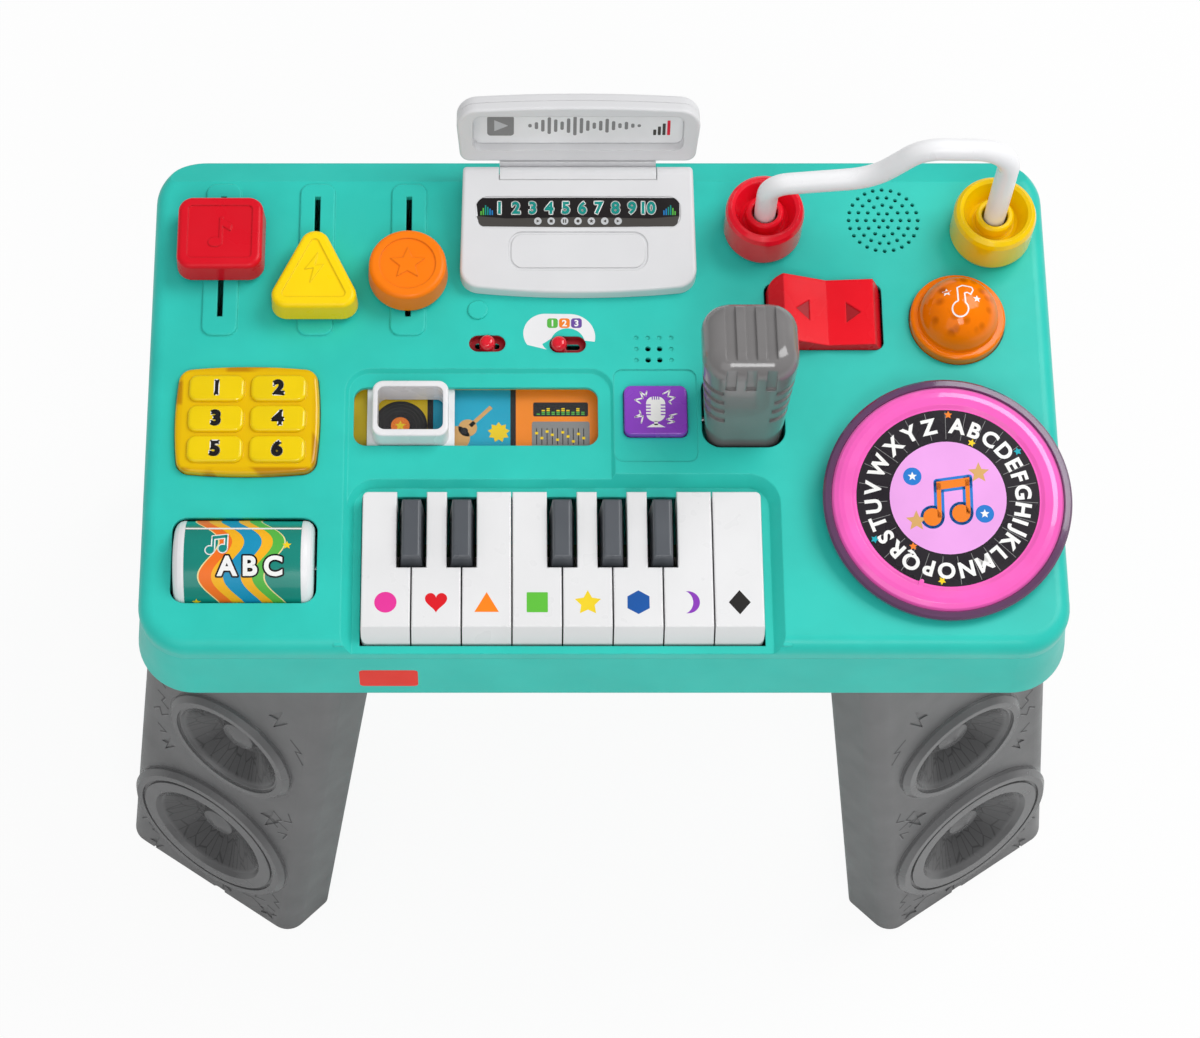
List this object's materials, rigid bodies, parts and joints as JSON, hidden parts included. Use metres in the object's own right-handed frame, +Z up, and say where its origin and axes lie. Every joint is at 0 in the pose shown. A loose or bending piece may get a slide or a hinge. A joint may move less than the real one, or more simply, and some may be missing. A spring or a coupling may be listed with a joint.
{
  "type": "musical activity table",
  "caption": "Free-standing toddler music table: press piano keys, turn the record and drum, push sliders and buttons, tip the microphone and rocker, and fold the play laptop.",
  "frame": {"origin": "on the floor, under the middle of the four feet", "axes": "+Z up, -Y towards the child who plays, +X to the child's right"},
  "size_m": [0.583, 0.379, 0.4873],
  "materials": {
    "teal_casing": "satin moulded",
    "grey_leg": "satin blow moulded",
    "white_plastic": "satin moulded",
    "red_plastic": "glossy moulded",
    "yellow_plastic": "glossy moulded",
    "orange_plastic": "glossy moulded",
    "clear_yellow": "clear tinted",
    "clear_orange": "clear tinted",
    "white_key": "polished",
    "grey_key": "polished",
    "purple_button": "satin moulded",
    "grey_mic": "glossy moulded",
    "pink_disc": "pearl",
    "smoky_rim": "clear tinted",
    "drum_label": "printed",
    "picture_card": "printed",
    "clear_lens": "clear",
    "axle_steel": "bright",
    "screw_steel": "zinc plated",
    "board_green": "solder mask",
    "dome_rubber": "matt",
    "cell_wrap": "wrapped",
    "driver_black": "matt",
    "screen_card": "printed"
  },
  "bodies": {
    "table": {"top_shell": "teal_casing", "bottom_shell": "teal_casing", "battery_door": "teal_casing", "battery_door_screw": "screw_steel", "batteries": "cell_wrap", "circuit_board": "board_green", "speaker_driver": "driver_black", "key_axle": "axle_steel", "key_membrane": "dome_rubber", "picture_tray": "picture_card", "window_lens": "clear_lens", "laptop_base": "white_plastic", "laptop_hinge_pin": "axle_steel", "arch_tube": "white_plastic", "blanking_plug": "teal_casing", "drum_axle": "axle_steel", "rocker_axle": "axle_steel", "mic_axle": "axle_steel", "turntable_spindle": "axle_steel", "case_screws": "screw_steel", "leg_front_left": "grey_leg", "leg_front_right": "grey_leg", "leg_back_left": "grey_leg", "leg_back_right": "grey_leg"},
    "square_slider": {"square_slider_knob": "red_plastic", "square_slider_clip": "white_plastic"},
    "triangle_slider": {"triangle_slider_knob": "yellow_plastic", "triangle_slider_clip": "white_plastic"},
    "round_slider": {"round_slider_knob": "orange_plastic", "round_slider_clip": "white_plastic"},
    "laptop_lid": {"lid_bezel": "white_plastic", "lid_back": "white_plastic", "lid_screen": "screen_card"},
    "power_switch": {"power_switch_knob": "red_plastic"},
    "stage_switch": {"stage_switch_knob": "red_plastic"},
    "number_panel": {"number_panel": "clear_yellow"},
    "drum": {"drum_barrel": "drum_label", "drum_end_caps": "white_plastic"},
    "viewer": {"window_slider": "white_plastic"},
    "white_key_1": {"white_key_1": "white_key"},
    "white_key_2": {"white_key_2": "white_key"},
    "white_key_3": {"white_key_3": "white_key"},
    "white_key_4": {"white_key_4": "white_key"},
    "white_key_5": {"white_key_5": "white_key"},
    "white_key_6": {"white_key_6": "white_key"},
    "white_key_7": {"white_key_7": "white_key"},
    "white_key_8": {"white_key_8": "white_key"},
    "black_key_1": {"black_key_1": "grey_key"},
    "black_key_2": {"black_key_2": "grey_key"},
    "black_key_3": {"black_key_3": "grey_key"},
    "black_key_4": {"black_key_4": "grey_key"},
    "black_key_5": {"black_key_5": "grey_key"},
    "mic_button": {"mic_button": "purple_button"},
    "microphone": {"microphone": "grey_mic"},
    "rocker": {"rocker_switch": "red_plastic"},
    "dome": {"dome_button": "clear_orange"},
    "turntable": {"turntable_disc": "pink_disc", "turntable_rim": "smoky_rim"},
    "red_cup": {"red_ring": "red_plastic"},
    "yellow_cup": {"yellow_ring": "yellow_plastic"}
  },
  "joints": [
    {"name": "square_slider_slide", "type": "slide", "parent": "table", "child": "square_slider", "axis": [0, 1, 0], "range_m": [-0.0372, 0.0242]},
    {"name": "triangle_slider_slide", "type": "slide", "parent": "table", "child": "triangle_slider", "axis": [0, 1, 0], "range_m": [-0.0147, 0.0467]},
    {"name": "round_slider_slide", "type": "slide", "parent": "table", "child": "round_slider", "axis": [0, 1, 0], "range_m": [-0.0172, 0.0442]},
    {"name": "lid_hinge", "type": "hinge", "parent": "table", "child": "laptop_lid", "pos_m": [-0.0125, 0.131, 0.4035], "axis": [1, 0, 0], "range_deg": [0, 120]},
    {"name": "power_switch_slide", "type": "slide", "parent": "table", "child": "power_switch", "axis": [1, 0, 0], "range_m": [-0.005, 0.005]},
    {"name": "stage_switch_slide", "type": "slide", "parent": "table", "child": "stage_switch", "axis": [1, 0, 0], "range_m": [0, 0.0096]},
    {"name": "number_panel_press", "type": "slide", "parent": "table", "child": "number_panel", "axis": [0, 0, -1], "range_m": [0, 0.002], "stiffness_N_per_m": 400, "springref_m": -0.002},
    {"name": "drum_spin", "type": "hinge", "parent": "table", "child": "drum", "pos_m": [-0.1949, -0.0943, 0.373], "axis": [1, 0, 0], "continuous": true},
    {"name": "viewer_slide", "type": "slide", "parent": "table", "child": "viewer", "axis": [1, 0, 0], "range_m": [-0.0095, 0.0795]},
    {"name": "white_key_1_press", "type": "hinge", "parent": "table", "child": "white_key_1", "pos_m": [-0.11789, -0.048, 0.371], "axis": [1, 0, 0], "range_deg": [0, 3], "stiffness_Nm_per_rad": 0.3, "springref_deg": -2.86},
    {"name": "white_key_2_press", "type": "hinge", "parent": "table", "child": "white_key_2", "pos_m": [-0.09066, -0.048, 0.371], "axis": [1, 0, 0], "range_deg": [0, 3], "stiffness_Nm_per_rad": 0.3, "springref_deg": -2.86},
    {"name": "white_key_3_press", "type": "hinge", "parent": "table", "child": "white_key_3", "pos_m": [-0.06344, -0.048, 0.371], "axis": [1, 0, 0], "range_deg": [0, 3], "stiffness_Nm_per_rad": 0.3, "springref_deg": -2.86},
    {"name": "white_key_4_press", "type": "hinge", "parent": "table", "child": "white_key_4", "pos_m": [-0.03621, -0.048, 0.371], "axis": [1, 0, 0], "range_deg": [0, 3], "stiffness_Nm_per_rad": 0.3, "springref_deg": -2.86},
    {"name": "white_key_5_press", "type": "hinge", "parent": "table", "child": "white_key_5", "pos_m": [-0.00899, -0.048, 0.371], "axis": [1, 0, 0], "range_deg": [0, 3], "stiffness_Nm_per_rad": 0.3, "springref_deg": -2.86},
    {"name": "white_key_6_press", "type": "hinge", "parent": "table", "child": "white_key_6", "pos_m": [0.01824, -0.048, 0.371], "axis": [1, 0, 0], "range_deg": [0, 3], "stiffness_Nm_per_rad": 0.3, "springref_deg": -2.86},
    {"name": "white_key_7_press", "type": "hinge", "parent": "table", "child": "white_key_7", "pos_m": [0.04546, -0.048, 0.371], "axis": [1, 0, 0], "range_deg": [0, 3], "stiffness_Nm_per_rad": 0.3, "springref_deg": -2.86},
    {"name": "white_key_8_press", "type": "hinge", "parent": "table", "child": "white_key_8", "pos_m": [0.07269, -0.048, 0.371], "axis": [1, 0, 0], "range_deg": [0, 3], "stiffness_Nm_per_rad": 0.3, "springref_deg": -2.86},
    {"name": "black_key_1_press", "type": "hinge", "parent": "table", "child": "black_key_1", "pos_m": [-0.10428, -0.048, 0.371], "axis": [1, 0, 0], "range_deg": [0, 3], "stiffness_Nm_per_rad": 0.3, "springref_deg": -2.86},
    {"name": "black_key_2_press", "type": "hinge", "parent": "table", "child": "black_key_2", "pos_m": [-0.07705, -0.048, 0.371], "axis": [1, 0, 0], "range_deg": [0, 3], "stiffness_Nm_per_rad": 0.3, "springref_deg": -2.86},
    {"name": "black_key_3_press", "type": "hinge", "parent": "table", "child": "black_key_3", "pos_m": [-0.0226, -0.048, 0.371], "axis": [1, 0, 0], "range_deg": [0, 3], "stiffness_Nm_per_rad": 0.3, "springref_deg": -2.86},
    {"name": "black_key_4_press", "type": "hinge", "parent": "table", "child": "black_key_4", "pos_m": [0.00462, -0.048, 0.371], "axis": [1, 0, 0], "range_deg": [0, 3], "stiffness_Nm_per_rad": 0.3, "springref_deg": -2.86},
    {"name": "black_key_5_press", "type": "hinge", "parent": "table", "child": "black_key_5", "pos_m": [0.03185, -0.048, 0.371], "axis": [1, 0, 0], "range_deg": [0, 3], "stiffness_Nm_per_rad": 0.3, "springref_deg": -2.86},
    {"name": "mic_button_press", "type": "slide", "parent": "table", "child": "mic_button", "axis": [0, 0, -1], "range_m": [0, 0.002], "stiffness_N_per_m": 300, "springref_m": -0.002},
    {"name": "microphone_tilt", "type": "hinge", "parent": "table", "child": "microphone", "pos_m": [0.078, -0.0066, 0.377], "axis": [1, 0, 0], "range_deg": [-8, 8], "stiffness_Nm_per_rad": 0.5, "springref_deg": 0.69},
    {"name": "rocker_tip", "type": "hinge", "parent": "table", "child": "rocker", "pos_m": [0.1246, 0.053, 0.379], "axis": [0, 1, 0], "range_deg": [-16, 0]},
    {"name": "dome_press", "type": "slide", "parent": "table", "child": "dome", "axis": [0, 0, -1], "range_m": [0, 0.003], "stiffness_N_per_m": 300, "springref_m": -0.002},
    {"name": "turntable_spin", "type": "hinge", "parent": "table", "child": "turntable", "pos_m": [0.186, -0.0648, 0.403], "axis": [0, -0.1392, 0.9903], "continuous": true},
    {"name": "red_cup_spin", "type": "hinge", "parent": "table", "child": "red_cup", "pos_m": [0.0919, 0.107, 0.385], "axis": [0, 0, 1], "continuous": true},
    {"name": "yellow_cup_spin", "type": "hinge", "parent": "table", "child": "yellow_cup", "pos_m": [0.2204, 0.105, 0.385], "axis": [0, 0, 1], "continuous": true}
  ]
}
